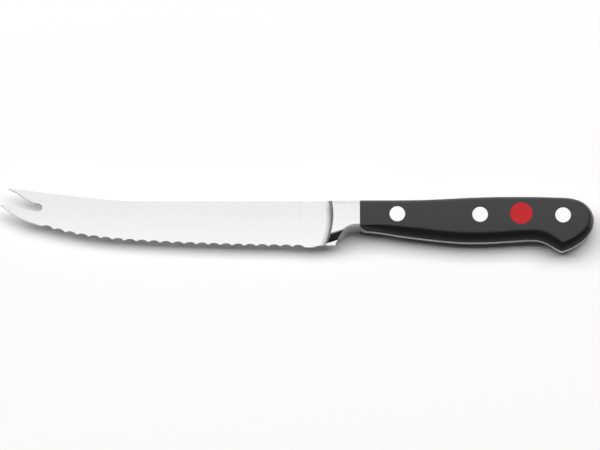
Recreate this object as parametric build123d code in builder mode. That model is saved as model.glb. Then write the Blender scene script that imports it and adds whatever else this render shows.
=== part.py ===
from build123d import *
import os
from math import cos, radians, sin, tan

# A tomato knife with a forked tip, lying on its right side. Millimetres, +X from the fork to the
# butt, +Y from the edge to the spine, +Z up out of the left side. The origin is under the middle
# of the box that holds the knife, on the surface that it lies on.

# Blade
blade_reach = 140.6  # foremost prong tip to the crest of the bolster's front line
blade_height = 20.0  # spine to the tooth points, beside the bolster
stock_thickness = 2.2  # tang, and the spine beside the bolster
tip_thickness = 1.4  # spine at the fork
edge_thickness = 0.6  # edge beside the bolster
straight_spine = 76.1  # from the bolster's front line to where the spine starts to rise
spine_radius = 240.0
fork_lift = 7.2  # degrees that the spine turns up
edge_shares = (
    (0.016, 0.160), (0.050, 0.322), (0.115, 0.510), (0.196, 0.672), (0.302, 0.803),
    (0.445, 0.886), (0.660, 0.953), (0.935, 1.0),
)  # along blade_reach and down blade_height

# Fork
upper_setback = 3.4  # how far the upper prong's tip stands behind the lower one's
prong_blunt = 0.25  # width of a prong's point
lower_tip_drop = 1.3  # lower prong's point below the spine line
notch_depth = 17.75
notch_width = 3.5  # across its round end
notch_drop = 2.6  # middle of the round end below the spine line
upper_wall_shares = ((0.41, 0.44), (0.74, 0.845), (0.88, 0.957))  # from the upper tip, back and down
lower_wall_shares = ((0.20, 0.036), (0.425, 0.308), (0.706, 0.754), (0.906, 0.97))

# Serration, ground from the right side only
tooth_count = 22
first_tooth = 20.0  # along the edge, from the lower prong's tip
last_tooth = 3.1  # along the edge, to where it meets the plain heel
scallop_depth = 1.0
grind_angle = 20.0  # degrees between the ground face and the blade's side
grind_radius = 9.4
grind_width = 16.0

# Bolster and heel
bolster_length = 11.1  # front line to the scales
bolster_drop = 11.9  # spine to the flat under the bolster
bolster_bow_radius = 30.0  # bow of the front line, seen from the side
bolster_bow_drop = 7.2  # crest of the bow below the spine
hollow_run = 2.8  # length of the hollow between the blade and the bolster
hollow_rise = 2.2  # out from the blade's face, where the bolster's front stands upright
heel_relief = 0.78  # plain heel stands back from the tooth line
heel_relief_run = 3.0
heel_overhang = 0.8  # heel behind the bolster's front line
landing_length = 0.8  # flat under the bolster, in front of the scales
notch_shares = ((0.095, 0.306), (0.38, 0.707), (0.642, 0.916), (0.82, 0.973))  # from the heel, upwards
flank_drop = 15.4  # bolster's full width ends here below the spine, at its front line
flank_angle = 18.0  # degrees that this end climbs towards the handle
flank_run = 2.0  # how far the flank slopes in on its way to the heel
flank_length = 7.0  # behind the front line
heel_thickness = 1.9
bolster_easing = 0.5
root_run = 4.2  # hollow between the bolster's back and the tang's faces, along the tang
root_rise = 5.2  # and up the bolster's back
root_clearance = 0.05  # all round, in the scales

# Handle
scale_length = 98.7
scale_thickness = 5.6
crown_rise = 1.52  # highest point of the grip above the spine line
beak_drop = 22.1  # lowest point of the grip below the spine line
beak_radius = 1.2
crown_shares = (
    (0.06, 0.0), (0.15, 0.01), (0.266, 0.11), (0.369, 0.41), (0.471, 0.75), (0.60, 0.98),
    (0.70, 1.0), (0.78, 0.94), (0.85, 0.79), (0.895, 0.62),
)  # along scale_length and up crown_rise
butt_shares = (
    (0.933, 0.0), (0.964, 0.075), (0.989, 0.205), (1.0, 0.365), (0.994, 0.53), (0.972, 0.70),
    (0.940, 0.83), (0.905, 0.925),
)  # along scale_length and down beak_drop
beak_share = 0.862  # along scale_length
belly_shares = (
    (0.822, 0.784), (0.797, 0.642), (0.767, 0.534), (0.72, 0.505), (0.625, 0.564), (0.496, 0.618),
    (0.38, 0.569), (0.266, 0.446), (0.163, 0.314), (0.0527, 0.149), (0.018, 0.098),
)  # along scale_length, and from the landing down to the beak
top_rounding = 3.3  # from the blade to the middle of the butt
butt_rounding = 2.9
belly_rounding = 3.6
front_rounding = 0.6  # belly's rounding where it leaves the bolster
rounding_run = 26.0  # and how far behind the bolster it has grown to its full size
rounding_angles = (0, 18, 36, 54, 70, 82, 90)  # up the rounded edge, in degrees

# Rivets and their holes
rivet_shares = (0.160, 0.513, 0.867)  # along scale_length
rivet_drops = (7.1, 7.35, 7.6)  # below the spine line
head_diameter = 6.55
head_height = 2.0
sleeve_diameter = 4.8
pin_diameter = 3.0
rivet_clearance = 0.05  # all round, in the scales and the tang
press_clearance = 0.02  # all round, between pin and sleeve
end_clearance = 0.3  # between a shank's end and what it points at

# Inlay
inlay_diameter = 9.4
inlay_thickness = 1.2
inlay_share = 0.689  # along scale_length
inlay_drop = 6.85  # below the spine line
inlay_clearance = 0.05

cut_overrun = 2.0

# Places, measured from the foremost prong tip and from the spine line
scale_front = blade_reach + bolster_length
overall_length = scale_front + scale_length
bend = blade_reach - straight_spine
arc_run = spine_radius * sin(radians(fork_lift))
arc_rise = spine_radius * (1 - cos(radians(fork_lift)))
fork_rise = arc_rise + (bend - arc_run - upper_setback) * tan(radians(fork_lift))
tang_face = stock_thickness / 2
half_handle = tang_face + scale_thickness
side = Plane(origin=(-overall_length / 2, (beak_drop - fork_rise) / 2, half_handle))


def half_blade(x, y):
    """Half the ground blade's thickness at a place on its side."""
    lengthwise = (stock_thickness - tip_thickness) * (1 - x / blade_reach)
    return (stock_thickness - lengthwise + (stock_thickness - edge_thickness) * y / blade_height) / 2


def place(x, y, z):
    """A point given from the prong tip, the spine line and the knife's middle plane."""
    return side.from_local_coords(Vector(x, y, z))


def rounding(share):
    """How wide the belly's rounded edge is at a share of the grip's length."""
    rest = max(0, 1 - share * scale_length / rounding_run)
    return belly_rounding - (belly_rounding - front_rounding) * rest ** 2


# The grip's outline from the bolster over the butt to the bolster: x, y and edge rounding
crown = [(scale_front + a * scale_length, b * crown_rise, top_rounding) for a, b in crown_shares]
butt = [(scale_front + a * scale_length, -b * beak_drop, butt_rounding) for a, b in butt_shares]
beak = (scale_front + beak_share * scale_length, -beak_drop, butt_rounding)
belly = [
    (
        scale_front + a * scale_length,
        -bolster_drop - b * (beak_drop - bolster_drop),
        rounding(a),
    )
    for a, b in belly_shares
]
front_top = (scale_front, 0, top_rounding)
front_foot = (scale_front, -bolster_drop, front_rounding)
outline = [front_top, *crown, *butt, beak, *belly, front_foot]


def drawn_in(angle):
    """The outline's points, drawn in as far as the rounded edge has turned by an angle."""
    share = 1 - cos(radians(angle))
    points = [Vector(scale_front, -top_rounding * share)]
    for before, here, after in zip(outline, outline[1:], outline[2:]):
        along = Vector(after[0] - before[0], after[1] - before[1]).normalized()
        points.append(Vector(here[0], here[1]) + Vector(along.Y, -along.X) * here[2] * share)
    points.append(Vector(scale_front, -bolster_drop))
    return points


def draw_grip(points):
    """Lines round the grip, in the sketch that is open."""
    turn = outline.index(beak)
    Spline(points[:turn + 1])
    Spline(points[turn:])
    Line(points[-1], points[0])


# Grinding wheel for the blade's left side. Its flat makes the blade's face and its rounded
# shoulder makes the hollow in front of the bolster.
wheel_x = blade_reach - bolster_bow_radius
wheel_y = -bolster_bow_drop
flat_start = place(0, 0, half_blade(0, 0))
flat_end = place(blade_reach, 0, half_blade(blade_reach, 0))
flat_edge = place(blade_reach, -blade_height, half_blade(blade_reach, -blade_height))
flat = Plane(
    origin=place(wheel_x, wheel_y, half_blade(wheel_x, wheel_y)),
    x_dir=flat_end - flat_start,
    z_dir=(flat_edge - flat_end).cross(flat_end - flat_start),
)
wheel_height = half_handle + cut_overrun
with BuildPart() as left_wheel:
    with BuildSketch(Plane(origin=flat.origin, x_dir=flat.x_dir, z_dir=-flat.y_dir)):
        with BuildLine():
            Line((0, 0), (bolster_bow_radius - hollow_run, 0))
            EllipticalCenterArc((bolster_bow_radius - hollow_run, hollow_rise), hollow_run, hollow_rise, 270)
            Line((bolster_bow_radius, hollow_rise), (bolster_bow_radius, wheel_height))
            Line((bolster_bow_radius, wheel_height), (0, wheel_height))
            Line((0, wheel_height), (0, 0))
        make_face()
    revolve(axis=Axis(flat.origin, flat.z_dir))
    with BuildSketch(flat):
        Rectangle(
            wheel_x + cut_overrun,
            2 * (bolster_bow_radius - hollow_run),
            align=(Align.MAX, Align.CENTER),
        )
    extrude(amount=wheel_height)

# The blade's edge, as a line of its own so that the teeth can be spaced along it
lower_tip = Vector(0, -lower_tip_drop - prong_blunt)
edge_points = [(a * blade_reach, -b * blade_height) for a, b in edge_shares]
with BuildLine() as edge_line:
    Spline(lower_tip, *edge_points)

tooth_line = edge_line.edge()

# Wedge that thins the left of the bolster's lower end down to the heel
climb = Vector(cos(radians(flank_angle)), sin(radians(flank_angle)))
flank_back = place(blade_reach, -flank_drop, 0) + climb * flank_length
flank_slope = flank_run / (half_handle - heel_thickness / 2)
flank_reach = flank_run + blade_height - bolster_drop
with BuildPart() as left_wedge:
    with BuildSketch(Plane(origin=flank_back, x_dir=(climb.Y, -climb.X, 0), z_dir=-climb)):
        with BuildLine():
            Polyline(
                (-cut_overrun * flank_slope, half_handle + cut_overrun),
                (flank_run, heel_thickness / 2),
                (flank_reach, heel_thickness / 2),
                (flank_reach, half_handle + cut_overrun),
                close=True,
            )
        make_face()
    extrude(amount=flank_length + hollow_run + cut_overrun)

# One grip half's outer form, on the tang's left face
with BuildPart() as grip_form:
    for angle in rounding_angles:
        with BuildSketch(side.offset(tang_face + scale_thickness * sin(radians(angle)))):
            with BuildLine():
                draw_grip(drawn_in(angle))
            make_face()
            fillet(vertices().sort_by(Axis.Y)[0], beak_radius)
    loft()

# Corner that the rounding takes off the bolster's top on the left, in line with the grip's
corner_run = bolster_length + hollow_run + cut_overrun
with BuildPart() as left_corner:
    with BuildSketch(Plane(origin=place(scale_front, 0, tang_face), x_dir=(0, 0, 1), z_dir=(-1, 0, 0))):
        with Locations((0, cut_overrun)):
            Rectangle(
                scale_thickness + cut_overrun,
                top_rounding + cut_overrun,
                align=(Align.MIN, Align.MAX),
            )
    extrude(amount=corner_run)
    front_face = grip_form.faces().sort_by(Axis.X)[0]
    extrude(front_face, amount=corner_run, dir=(-1, 0, 0), mode=Mode.SUBTRACT)

# What the hollow leaves between the tang's left face and the bolster: steel, and room for it
root_bars = []
for clearance in (0, root_clearance):
    run = root_run + clearance
    rise = root_rise + clearance
    with BuildPart() as root_bar:
        with BuildSketch(
            Plane(origin=place(scale_front, cut_overrun, tang_face), x_dir=(1, 0, 0), z_dir=(0, -1, 0))
        ):
            with BuildLine():
                Polyline(
                    (run, clearance), (run, -cut_overrun), (-cut_overrun, -cut_overrun),
                    (-cut_overrun, rise), (clearance, rise),
                )
                EllipticalCenterArc((run, rise), root_run, root_rise, 180)
            make_face()
        extrude(amount=beak_drop + cut_overrun)
    root_bars.append(root_bar)

with BuildPart() as left_root:
    add(grip_form.part)
    add(root_bars[0].part, mode=Mode.INTERSECT)


def scallop_wheel(share):
    """Plane across the axis of the wheel that grinds the scallop at a share of the edge."""
    outward = Vector((tooth_line % share).Y, -(tooth_line % share).X)
    lean = radians(grind_angle)
    axis = outward * -cos(lean) - Vector(0, 0, sin(lean))
    to_axis = outward * sin(lean) - Vector(0, 0, cos(lean))
    top = (tooth_line @ share) - outward * scallop_depth
    touch = place(top.X, top.Y, half_blade(top.X, top.Y))
    return Plane(origin=touch + to_axis * grind_radius - axis * grind_width / 2, z_dir=axis)


teeth_length = tooth_line.length - first_tooth - last_tooth
scallops = [
    (first_tooth + (i + 0.5) * teeth_length / tooth_count) / tooth_line.length
    for i in range(tooth_count)
]
rivets = [
    (scale_front + share * scale_length, -drop) for share, drop in zip(rivet_shares, rivet_drops)
]

with BuildPart() as blade:
    with BuildSketch(side.offset(-half_handle)):
        with BuildLine():
            Line((scale_front, 0), (bend, 0))
            rise = JernArc((bend, 0), (-1, 0), spine_radius, -fork_lift)
            upper_tip = Vector(upper_setback, fork_rise)
            Line(rise @ 1, upper_tip)
            upper_point = upper_tip - Vector(0, prong_blunt)
            Line(upper_tip, upper_point)
            round_x = notch_depth - notch_width / 2
            round_top = Vector(round_x, notch_width / 2 - notch_drop)
            round_foot = Vector(round_x, -notch_width / 2 - notch_drop)
            upper_wall = [
                upper_point + Vector(a * (round_top - upper_point).X, b * (round_top - upper_point).Y)
                for a, b in upper_wall_shares
            ]
            Spline(upper_point, *upper_wall, round_top)
            ThreePointArc(round_top, (notch_depth, -notch_drop), round_foot)
            lower_point = lower_tip + Vector(0, prong_blunt)
            lower_wall = [
                lower_point + Vector(a * (round_foot - lower_point).X, b * (round_foot - lower_point).Y)
                for a, b in lower_wall_shares
            ]
            Spline(lower_point, *lower_wall, round_foot)
            Line(lower_point, lower_tip)
            add(edge_line.line)
            heel_line = heel_relief - blade_height
            heel_front = (edge_points[-1][0] + heel_relief_run, heel_line)
            Line(edge_points[-1], heel_front)
            heel_back = (blade_reach + heel_overhang, heel_line)
            Line(heel_front, heel_back)
            landing = (scale_front - landing_length, -bolster_drop)
            notch = [
                Vector(
                    heel_back[0] + a * (landing[0] - heel_back[0]),
                    heel_line + b * (landing[1] - heel_line),
                )
                for a, b in notch_shares
            ]
            Spline(heel_back, *notch, landing)
            Line(landing, (scale_front, -bolster_drop))
            Line((scale_front, -bolster_drop), (scale_front, 0))
        make_face()
    extrude(amount=2 * half_handle)
    add(left_wheel.part, mode=Mode.SUBTRACT)
    mirror(left_wheel.part, about=side, mode=Mode.SUBTRACT)
    add(left_wedge.part, mode=Mode.SUBTRACT)
    mirror(left_wedge.part, about=side, mode=Mode.SUBTRACT)
    add(left_corner.part, mode=Mode.SUBTRACT)
    mirror(left_corner.part, about=side, mode=Mode.SUBTRACT)
    for flat_side in blade.faces().sort_by(Axis.Z)[::len(blade.faces()) - 1]:
        fillet(flat_side.edges().sort_by(Axis.X)[1:-1].sort_by(Axis.Y)[:-1], bolster_easing)

    # Full tang behind the bolster
    with BuildSketch(side.offset(-tang_face)):
        with BuildLine():
            draw_grip(drawn_in(0))
        make_face()
        fillet(vertices().sort_by(Axis.Y)[0], beak_radius)
    extrude(amount=stock_thickness)
    add(left_root.part)
    mirror(left_root.part, about=side)
    with Locations([place(x, y, 0) for x, y in rivets]):
        Hole(sleeve_diameter / 2 + rivet_clearance)

    # Scallops along the edge, with the wheel leaning towards the right side
    for share in scallops:
        with BuildSketch(scallop_wheel(share)):
            Circle(grind_radius)
        extrude(amount=grind_width, mode=Mode.SUBTRACT)
blade.part.label = "blade"

# One grip half, with its stepped rivet holes
with BuildPart() as grip_half:
    add(grip_form.part)
    add(root_bars[1].part, mode=Mode.SUBTRACT)
    with Locations([place(x, y, half_handle) for x, y in rivets]):
        CounterBoreHole(
            sleeve_diameter / 2 + rivet_clearance, head_diameter / 2 + rivet_clearance, head_height
        )

with BuildPart() as left_scale:
    add(grip_half.part)
    with Locations(place(scale_front + inlay_share * scale_length, -inlay_drop, half_handle)):
        Hole(inlay_diameter / 2 + inlay_clearance, inlay_thickness)
left_scale.part.label = "left_scale"

with BuildPart() as right_scale:
    mirror(grip_half.part, about=side)
right_scale.part.label = "right_scale"

with BuildPart() as inlay_disc:
    with Locations(place(scale_front + inlay_share * scale_length, -inlay_drop, half_handle)):
        Cylinder(
            inlay_diameter / 2, inlay_thickness, align=(Align.CENTER, Align.CENTER, Align.MAX)
        )
inlay_disc.part.label = "inlay_disc"

# Two-part rivets: a headed sleeve from the left, and a headed pin inside it from the right
shank_length = 2 * (half_handle - head_height) - end_clearance
rivet_pieces = []
for name, (x, y) in zip(("front", "middle", "rear"), rivets):
    with BuildPart() as sleeve:
        with Locations(place(x, y, half_handle)):
            Cylinder(head_diameter / 2, head_height, align=(Align.CENTER, Align.CENTER, Align.MAX))
        with Locations(place(x, y, half_handle - head_height)):
            Cylinder(sleeve_diameter / 2, shank_length, align=(Align.CENTER, Align.CENTER, Align.MAX))
            Cylinder(
                pin_diameter / 2 + press_clearance,
                shank_length,
                align=(Align.CENTER, Align.CENTER, Align.MAX),
                mode=Mode.SUBTRACT,
            )
    sleeve.part.label = f"{name}_rivet_sleeve"
    with BuildPart() as pin:
        with Locations(place(x, y, -half_handle)):
            Cylinder(head_diameter / 2, head_height, align=(Align.CENTER, Align.CENTER, Align.MIN))
        with Locations(place(x, y, head_height - half_handle)):
            Cylinder(pin_diameter / 2, shank_length, align=(Align.CENTER, Align.CENTER, Align.MIN))
    pin.part.label = f"{name}_rivet_pin"
    rivet_pieces += [sleeve, pin]

os.makedirs("parts", exist_ok=True)
for piece in (blade, left_scale, right_scale, inlay_disc, *rivet_pieces):
    export_step(piece.part, f"parts/{piece.part.label}.step")
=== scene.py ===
import math

import bpy
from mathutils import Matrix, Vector


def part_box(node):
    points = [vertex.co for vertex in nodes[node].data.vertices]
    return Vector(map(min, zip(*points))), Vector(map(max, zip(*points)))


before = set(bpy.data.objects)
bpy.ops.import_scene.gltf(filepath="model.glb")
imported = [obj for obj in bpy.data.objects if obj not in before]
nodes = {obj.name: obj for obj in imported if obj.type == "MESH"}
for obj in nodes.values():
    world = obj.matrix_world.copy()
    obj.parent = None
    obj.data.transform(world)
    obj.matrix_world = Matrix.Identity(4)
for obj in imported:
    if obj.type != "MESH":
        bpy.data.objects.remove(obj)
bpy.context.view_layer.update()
scene = bpy.context.scene
scene.view_settings.view_transform = "Standard"


class Wire:
    # a socket that can be added, multiplied and compared like a number
    def __init__(self, tree, socket=None):
        self.tree = tree
        self.socket = socket

    def node(self, kind, settings=None, out=0, **values):
        # a name like _6 is the number of a socket
        made = self.tree.nodes.new("ShaderNode" + kind)
        for name, value in (settings or {}).items():
            setattr(made, name, value)
        for name, value in values.items():
            socket = made.inputs[int(name[1:])] if name[1:].isdigit() else made.inputs[name]
            if isinstance(value, Wire):
                self.tree.links.new(value.socket, socket)
            else:
                socket.default_value = value
        return Wire(self.tree, made.outputs[out])

    def split(self):
        # a vector's three numbers
        made = self.node("SeparateXYZ", _0=self).socket.node
        return [Wire(self.tree, socket) for socket in made.outputs]

    def ramp(self, start, stop, low=0.0, high=1.0):
        # goes softly from low to high while this value goes from start to stop
        return self.node(
            "MapRange", {"interpolation_type": "SMOOTHSTEP"},
            _0=self, _1=start, _2=stop, _3=low, _4=high,
        )

    def blend(self, first, second):
        # a colour between two, by this value
        return self.node("Mix", {"data_type": "RGBA"}, out=2, _0=self, _6=first, _7=second)

    def sum(self, operation, a, b=0.0):
        return self.node("Math", {"operation": operation}, _0=a, _1=b)

    def __add__(self, other):
        return self.sum("ADD", self, other)

    def __sub__(self, other):
        return self.sum("SUBTRACT", self, other)

    def __mul__(self, other):
        return self.sum("MULTIPLY", self, other)

    def __truediv__(self, other):
        return self.sum("DIVIDE", self, other)

    def __rsub__(self, other):
        return self.sum("SUBTRACT", other, self)

    def __abs__(self):
        return self.sum("ABSOLUTE", self)

    __radd__ = __add__
    __rmul__ = __mul__


def newTree(name):
    material = bpy.data.materials.new(name)
    material.use_nodes = True
    tree = material.node_tree
    tree.nodes.clear()
    return material, Wire(tree)


def finishWith(wire, shader):
    out = wire.tree.nodes.new("ShaderNodeOutputMaterial")
    wire.tree.links.new(shader.socket, out.inputs["Surface"])


def place(wire):
    # Object coordinates, in metres
    return wire.node("TexCoord", out=3)


def turned(wire):
    # which way the surface faces, as X, Y and Z
    return wire.node("TexCoord", out=1).split()


def noise(wire, grains, detail=3.0, degrees=0.0):
    # noise with this many grains to a metre along X, Y and Z, turned about Z
    turn = (0, 0, math.radians(degrees))
    here = wire.node("Mapping", Vector=place(wire), Scale=grains, Rotation=turn)
    return wire.node("TexNoise", Vector=here, Scale=1.0, Detail=detail)


# Camera, tilted towards the belly of the grip
cameraSet = dict(
    lens=500.0,
    sensor=36.0,
    widthSeen=0.2530,  # metres across the picture
    tilt=16.0,  # degrees from straight above
    aim=(0.00131, -0.00197, 0.0067),
    reach=50,  # metres
)
camera = bpy.data.objects.new("camera", bpy.data.cameras.new("camera"))
camera.data.lens = cameraSet["lens"]
camera.data.sensor_width = cameraSet["sensor"]
camera.data.dof.use_dof = False
away = cameraSet["widthSeen"] * cameraSet["lens"] / cameraSet["sensor"]
tilt = math.radians(cameraSet["tilt"])
camera.location = Vector(cameraSet["aim"]) + away * Vector((0, -math.sin(tilt), math.cos(tilt)))
camera.rotation_euler = (tilt, 0, 0)
camera.data.clip_end = cameraSet["reach"]
scene.collection.objects.link(camera)
scene.camera = camera
print("camera stands", round(away, 3), "m away")


# Floor, which glows a little in the picture and in gloss
floorSet = dict(
    size=8.0,
    height=-0.00002,  # just clear of the knife
    colour=(0.97, 0.97, 0.97, 1),
    glow=0.02,
)
bpy.ops.mesh.primitive_plane_add(size=floorSet["size"])
floor = bpy.context.object
floor.name = "floor"
floor.location.z = floorSet["height"]
material, wire = newTree("paleFloor")
seen = wire.node("LightPath") + wire.node("LightPath", out=3) + wire.node("LightPath", out=6)
glow = wire.node("Emission", Strength=seen * floorSet["glow"])
matt = wire.node("BsdfDiffuse", Color=floorSet["colour"])
finishWith(wire, wire.node("AddShader", _0=glow, _1=matt))
floor.data.materials.append(material)


# Light: a long soft box over the knife and a weak dome for colour and shadow, and a studio of
# pale areas that shows in gloss
lampSet = dict(
    boxAway=4.0,
    boxLevel=3.5,
    boxAlong=(-1.6, 1.1),  # slopes from straight above to its ends, butt's side positive
    boxAcross=(-0.02, 0.78),  # and to its long sides, spine's side positive
    domeLevel=0.05,
)


def softLamp(name, kind, level):
    lamp = bpy.data.objects.new(name, bpy.data.lights.new(name, kind))
    lamp.data.energy = level
    lamp.visible_glossy = False
    lamp.visible_camera = False
    scene.collection.objects.link(lamp)
    return lamp


slopes = (lampSet["boxAlong"], lampSet["boxAcross"])
sizes = [lampSet["boxAway"] * (stop - start) for start, stop in slopes]
middles = [lampSet["boxAway"] * (start + stop) / 2 for start, stop in slopes]
lamp = softLamp("softBox", "AREA", lampSet["boxLevel"] * math.pi * sizes[0] * sizes[1])
lamp.data.shape = "RECTANGLE"
lamp.data.size, lamp.data.size_y = sizes
lamp.location = (*middles, lampSet["boxAway"])
softLamp("dome", "SUN", lampSet["domeLevel"]).data.angle = math.pi

studioSet = dict(
    boxLevel=1.38,
    boxFrom=(-0.14, -0.03),  # where the box begins, as a slope from straight above
    boxTo=(0.7, 1.0),  # and where it gives way to the wall on the spine's side
    wallLevel=1.3,
    endsFrom=0.3,  # slope along the knife at which the box starts to fade
    endsTo=3.0,
    endsShare=0.22,
    bellyShare=0.3,
    leastHeight=0.01,  # keeps the slopes finite at the horizon
)
world = bpy.data.worlds.new("studio")
scene.world = world
world.use_nodes = True
world.node_tree.nodes.clear()
world.cycles_visibility.diffuse = False
sky = Wire(world.node_tree)
goingX, goingY, goingZ = sky.node("TexCoord", out=0).split()
height = sky.sum("MAXIMUM", goingZ, studioSet["leastHeight"])
across = goingY / height
along = abs(goingX) / height
box = across.ramp(*studioSet["boxTo"], studioSet["boxLevel"], studioSet["wallLevel"])
box = box * across.ramp(*studioSet["boxFrom"], studioSet["bellyShare"], 1.0)
ends = along.ramp(studioSet["endsFrom"], studioSet["endsTo"], 1.0, studioSet["endsShare"])
studio = box * ends
seen = sky.node("LightPath")
background = sky.node("Background", Strength=seen + studio * (1.0 - seen))
out = world.node_tree.nodes.new("ShaderNodeOutputWorld")
world.node_tree.links.new(background.socket, out.inputs["Surface"])
print("floor and light are set")


# Steel of the blade, bolster and tang, ground in lines from the spine to the edge
steelSet = dict(
    bright=(0.865, 0.865, 0.87, 1),
    dull=(0.82, 0.82, 0.827, 1),
    roughness=0.10,  # least, to which the shares below add
    lineRough=0.10,
    hazeRough=0.05,
    scratchRough=0.08,
    spineHaze=0.10,  # rougher at the spine than at the edge
    tangRoughness=0.10,
    spineAt=0.008,
    edgeAt=-0.012,
    lines=(5200, 70, 260),  # grains to a metre along X, Y and Z
    haze=(40, 60, 60),
    scratches=(1700, 22, 90),
    scratchDegrees=4.0,
    scratchFrom=0.62,  # how much of the noise is a scratch
    scratchTo=0.72,
    rimLines=(90, 700, 5200),
    rimBlend=0.0004,  # over which the tang's rim begins behind the bolster
    rimSoft=0.0003,  # and ends at the scales
    lineDepth=0.03,
    lineHeight=0.0001,
    scratchDepth=0.05,
    scratchHeight=0.00005,
    # painted shade towards the spine and on surfaces facing the belly's side
    spineShade=0.95,
    underShade=0.62,
    underTurn=(-0.3, -0.9),  # how far a surface faces the belly's side as its painted shade darkens it
)
# The bolster's flank is painted near-black as a painted dark reflection, and the hollow before
# the bolster gets painted shade
flankSet = dict(
    colour=(0.003, 0.003, 0.0035, 1),
    pale=(0.006, 0.006, 0.0065, 1),
    flankGrain=(900, 900, 900),
    flankGrainDepth=0.15,
    flankGrainHeight=0.0001,
    flankGrainRough=0.2,
    roughness=0.42,
    specular=0.10,
    frontAhead=0.0111,  # bolster's front line ahead of the scales
    top=-0.00726,
    climb=18.0,  # degrees at which the flank's top rises towards the grip
    soft=0.0002,
    bowRadius=0.030,
    bowCrest=0.00094,
    bowInside=0.0012,  # how far the painted dark flank runs into the hollow before the bolster
    slanting=(0.14, 0.24),  # how far a surface faces up or down to carry the painted dark flank
    flat=(0.8, 0.5),  # and from where on it is too flat for it
    forward=(-0.3, -0.6),  # or how far it faces the tip, just ahead of the front line
    forwardSoft=0.0005,
    # painted shade in the hollow before the bolster
    hollowShade=0.6,
    hollowStart=(0.010, 0.006),  # ahead of the front line
    hollowRise=(-0.0036, -0.0014),  # inside the bow
    hollowEnd=(0.0, -0.0010),
    hollowFade=(0.0090, 0.0030),  # from the spine down
)
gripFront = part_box("left_scale")[0][0]
middle = (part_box("blade")[0][2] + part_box("blade")[1][2]) / 2
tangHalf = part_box("left_scale")[0][2] - middle

material, wire = newTree("satinSteel")
x, y, z = place(wire).split()
lines = noise(wire, steelSet["lines"])
scratches = noise(wire, steelSet["scratches"], 4.0, steelSet["scratchDegrees"])
scratches = scratches.ramp(steelSet["scratchFrom"], steelSet["scratchTo"])
haze = noise(wire, steelSet["haze"], 2.0)
toSpine = y.ramp(steelSet["edgeAt"], steelSet["spineAt"])

# the tang's rim is ground along the grip
onRim = x.ramp(gripFront, gripFront + steelSet["rimBlend"])
onRim = onRim * abs(z - middle).ramp(tangHalf + steelSet["rimSoft"], tangHalf)
rimLines = noise(wire, steelSet["rimLines"])

# the painted dark flank lies below a climbing line and behind the bow of the bolster's front
frontX = gripFront - flankSet["frontAhead"]
overX = x - (frontX - flankSet["bowRadius"])
overY = y - flankSet["bowCrest"]
outside = wire.sum("SQRT", overX * overX + overY * overY) - flankSet["bowRadius"]
flankTop = (x - frontX) * math.tan(math.radians(flankSet["climb"])) + flankSet["top"]
turnX, turnY, turnZ = turned(wire)
facing = abs(turnZ)
forward = turnX.ramp(*flankSet["forward"]) * x.ramp(frontX, frontX - flankSet["forwardSoft"])
onFlank = (
    outside.ramp(-flankSet["bowInside"], 0.0)
    * (flankTop - y).ramp(0.0, flankSet["soft"])
    * wire.sum("MAXIMUM", facing.ramp(*flankSet["slanting"]), forward)
    * facing.ramp(*flankSet["flat"])
)
rough = lines * steelSet["lineRough"] + haze * steelSet["hazeRough"]
rough = rough + toSpine * steelSet["spineHaze"] + steelSet["roughness"]
rough = rough + scratches * steelSet["scratchRough"] + onRim * steelSet["tangRoughness"]
# painted shade in the hollow before the bolster, fading out towards the spine
hollowStart, hollowStop = flankSet["hollowStart"]
inHollow = (
    x.ramp(frontX - hollowStart, frontX - hollowStop)
    * outside.ramp(*flankSet["hollowRise"])
    * outside.ramp(*flankSet["hollowEnd"])
    * y.ramp(*flankSet["hollowFade"])
)
# painted shade: the steel's colour is darker towards the spine, where it faces the belly's
# side, and in the hollow before the bolster
shade = 1.0 - toSpine * (1.0 - steelSet["spineShade"])
shade = shade - turnY.ramp(*steelSet["underTurn"]) * (1.0 - steelSet["underShade"])
shade = shade - inHollow * (1.0 - flankSet["hollowShade"])
colour = haze.blend(steelSet["dull"], steelSet["bright"])
colour = wire.node("VectorMath", {"operation": "SCALE"}, _0=colour, _3=shade)
bump = wire.node(
    "Bump", Height=lines * (1.0 - onRim) + rimLines * onRim,
    Strength=steelSet["lineDepth"], Distance=steelSet["lineHeight"],
)
bump = wire.node(
    "Bump", Height=1.0 - scratches, Normal=bump,
    Strength=steelSet["scratchDepth"], Distance=steelSet["scratchHeight"],
)
ground = wire.node(
    "BsdfPrincipled",
    **{"Base Color": colour, "Metallic": 1.0, "Roughness": rough, "Normal": bump}
)
# the flank's painted dark reflection: a near-black, dull finish with a fine grain in its bump
# and roughness
flankGrain = noise(wire, flankSet["flankGrain"], 4.0)
flankGrainBump = wire.node(
    "Bump", Height=flankGrain, Strength=flankSet["flankGrainDepth"], Distance=flankSet["flankGrainHeight"]
)
paintedDarkFlank = wire.node(
    "BsdfPrincipled",
    **{
        "Base Color": flankGrain.blend(flankSet["colour"], flankSet["pale"]),
        "Roughness": flankGrain * flankSet["flankGrainRough"] + flankSet["roughness"],
        "Normal": flankGrainBump,
        "Specular IOR Level": flankSet["specular"],
    }
)
finishWith(wire, wire.node("MixShader", _0=onFlank, _1=ground, _2=paintedDarkFlank))
satinSteel = material


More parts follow.
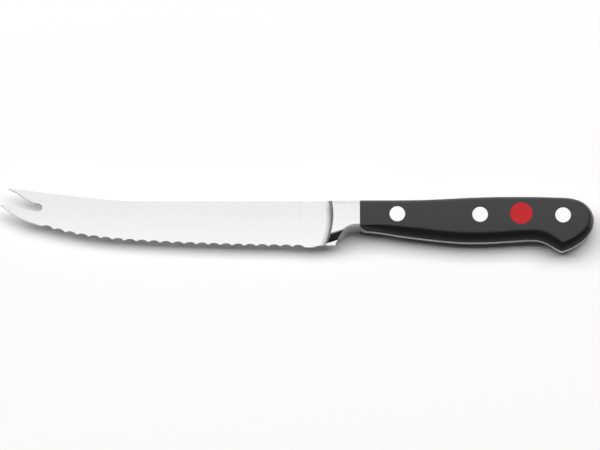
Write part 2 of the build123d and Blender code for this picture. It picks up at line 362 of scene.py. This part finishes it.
# Rivet heads, ground flush with the grip along its length
rivetSet = dict(
    bright=(0.90, 0.90, 0.905, 1),
    dull=(0.865, 0.865, 0.873, 1),
    roughness=0.10,
    lineRough=0.08,
    hazeRough=0.04,
    lines=(140, 4600, 4600),
    lineDegrees=6.0,
    haze=(320, 320, 320),
    lineDepth=0.03,
    lineHeight=0.0001,
)
material, wire = newTree("rivetSteel")
lines = noise(wire, rivetSet["lines"], 3.0, rivetSet["lineDegrees"])
haze = noise(wire, rivetSet["haze"], 2.0)
rough = lines * rivetSet["lineRough"] + haze * rivetSet["hazeRough"] + rivetSet["roughness"]
bump = wire.node(
    "Bump", Height=lines, Strength=rivetSet["lineDepth"], Distance=rivetSet["lineHeight"]
)
finishWith(wire, wire.node(
    "BsdfPrincipled",
    **{
        "Base Color": haze.blend(rivetSet["dull"], rivetSet["bright"]),
        "Metallic": 1.0,
        "Roughness": rough,
        "Normal": bump,
    }
))
rivetSteel = material


# Black moulded plastic of the scales, with a fine grain and the marks of polishing along it
gripSet = dict(
    dark=(0.009, 0.009, 0.0095, 1),
    pale=(0.015, 0.015, 0.0155, 1),
    sheenShare=0.6,  # of the way from dark to pale
    grainShare=0.4,
    roughness=0.22,  # least, to which the shares below add
    grainRough=0.05,
    markRough=0.05,
    sheenRough=0.06,
    bellyHaze=0.12,  # rougher towards the belly
    spineAt=0.008,
    bellyAt=-0.006,
    grain=(4200, 4200, 4200),
    marks=(60, 3400, 3400),
    markDegrees=-2.0,
    sheen=(55, 70, 70),
    grainDepth=0.06,
    markDepth=0.04,
    bumpHeight=0.0001,
    specular=0.58,
    edgeSpecular=0.07,
    bellyTurn=(-0.1, -0.5),  # how far a surface faces the belly's side as it turns dull
    spineTurn=(0.6, 0.95),  # and the spine's side
)
material, wire = newTree("blackPlastic")
y = place(wire).split()[1]
grain = noise(wire, gripSet["grain"], 2.0)
marks = noise(wire, gripSet["marks"], 3.0, gripSet["markDegrees"])
sheen = noise(wire, gripSet["sheen"], 2.0)
toBelly = y.ramp(gripSet["spineAt"], gripSet["bellyAt"])
rough = grain * gripSet["grainRough"] + marks * gripSet["markRough"]
rough = rough + sheen * gripSet["sheenRough"] + toBelly * gripSet["bellyHaze"]
rough = rough + gripSet["roughness"]
bump = wire.node(
    "Bump", Height=grain, Strength=gripSet["grainDepth"], Distance=gripSet["bumpHeight"]
)
bump = wire.node(
    "Bump", Height=marks, Normal=bump,
    Strength=gripSet["markDepth"], Distance=gripSet["bumpHeight"],
)
paleness = sheen * gripSet["sheenShare"] + grain * gripSet["grainShare"]
colour = paleness.blend(gripSet["dark"], gripSet["pale"])


def plastic(specular):
    return wire.node(
        "BsdfPrincipled",
        **{
            "Base Color": colour,
            "Roughness": rough,
            "Normal": bump,
            "Specular IOR Level": specular,
        }
    )


# duller on the rounded edges
turnY = turned(wire)[1]
onEdge = turnY.ramp(*gripSet["bellyTurn"]) + turnY.ramp(*gripSet["spineTurn"])
face = plastic(gripSet["specular"])
edge = plastic(gripSet["edgeSpecular"])
finishWith(wire, wire.node("MixShader", _0=onEdge, _1=face, _2=edge))
blackPlastic = material


# Red enamel of the inlay
inlaySet = dict(
    deep=(0.46, 0.008, 0.013, 1),
    clear=(0.56, 0.012, 0.018, 1),
    roughness=0.18,
    cloudRough=0.06,
    specular=0.2,
    cloud=(420, 420, 420),
    peel=(1500, 1500, 1500),
    peelDepth=0.05,
    peelHeight=0.0001,
)
material, wire = newTree("redInlay")
cloud = noise(wire, inlaySet["cloud"])
peel = noise(wire, inlaySet["peel"], 2.0)
bump = wire.node(
    "Bump", Height=peel, Strength=inlaySet["peelDepth"], Distance=inlaySet["peelHeight"]
)
finishWith(wire, wire.node(
    "BsdfPrincipled",
    **{
        "Base Color": cloud.blend(inlaySet["deep"], inlaySet["clear"]),
        "Roughness": cloud * inlaySet["cloudRough"] + inlaySet["roughness"],
        "Normal": bump,
        "Specular IOR Level": inlaySet["specular"],
    }
))
redInlay = material

for name, node in nodes.items():
    if name == "blade":
        finish = satinSteel
    elif "rivet" in name:
        finish = rivetSteel
    elif "scale" in name:
        finish = blackPlastic
    else:
        finish = redInlay
    node.data.materials[0] = finish
print("materials are on")
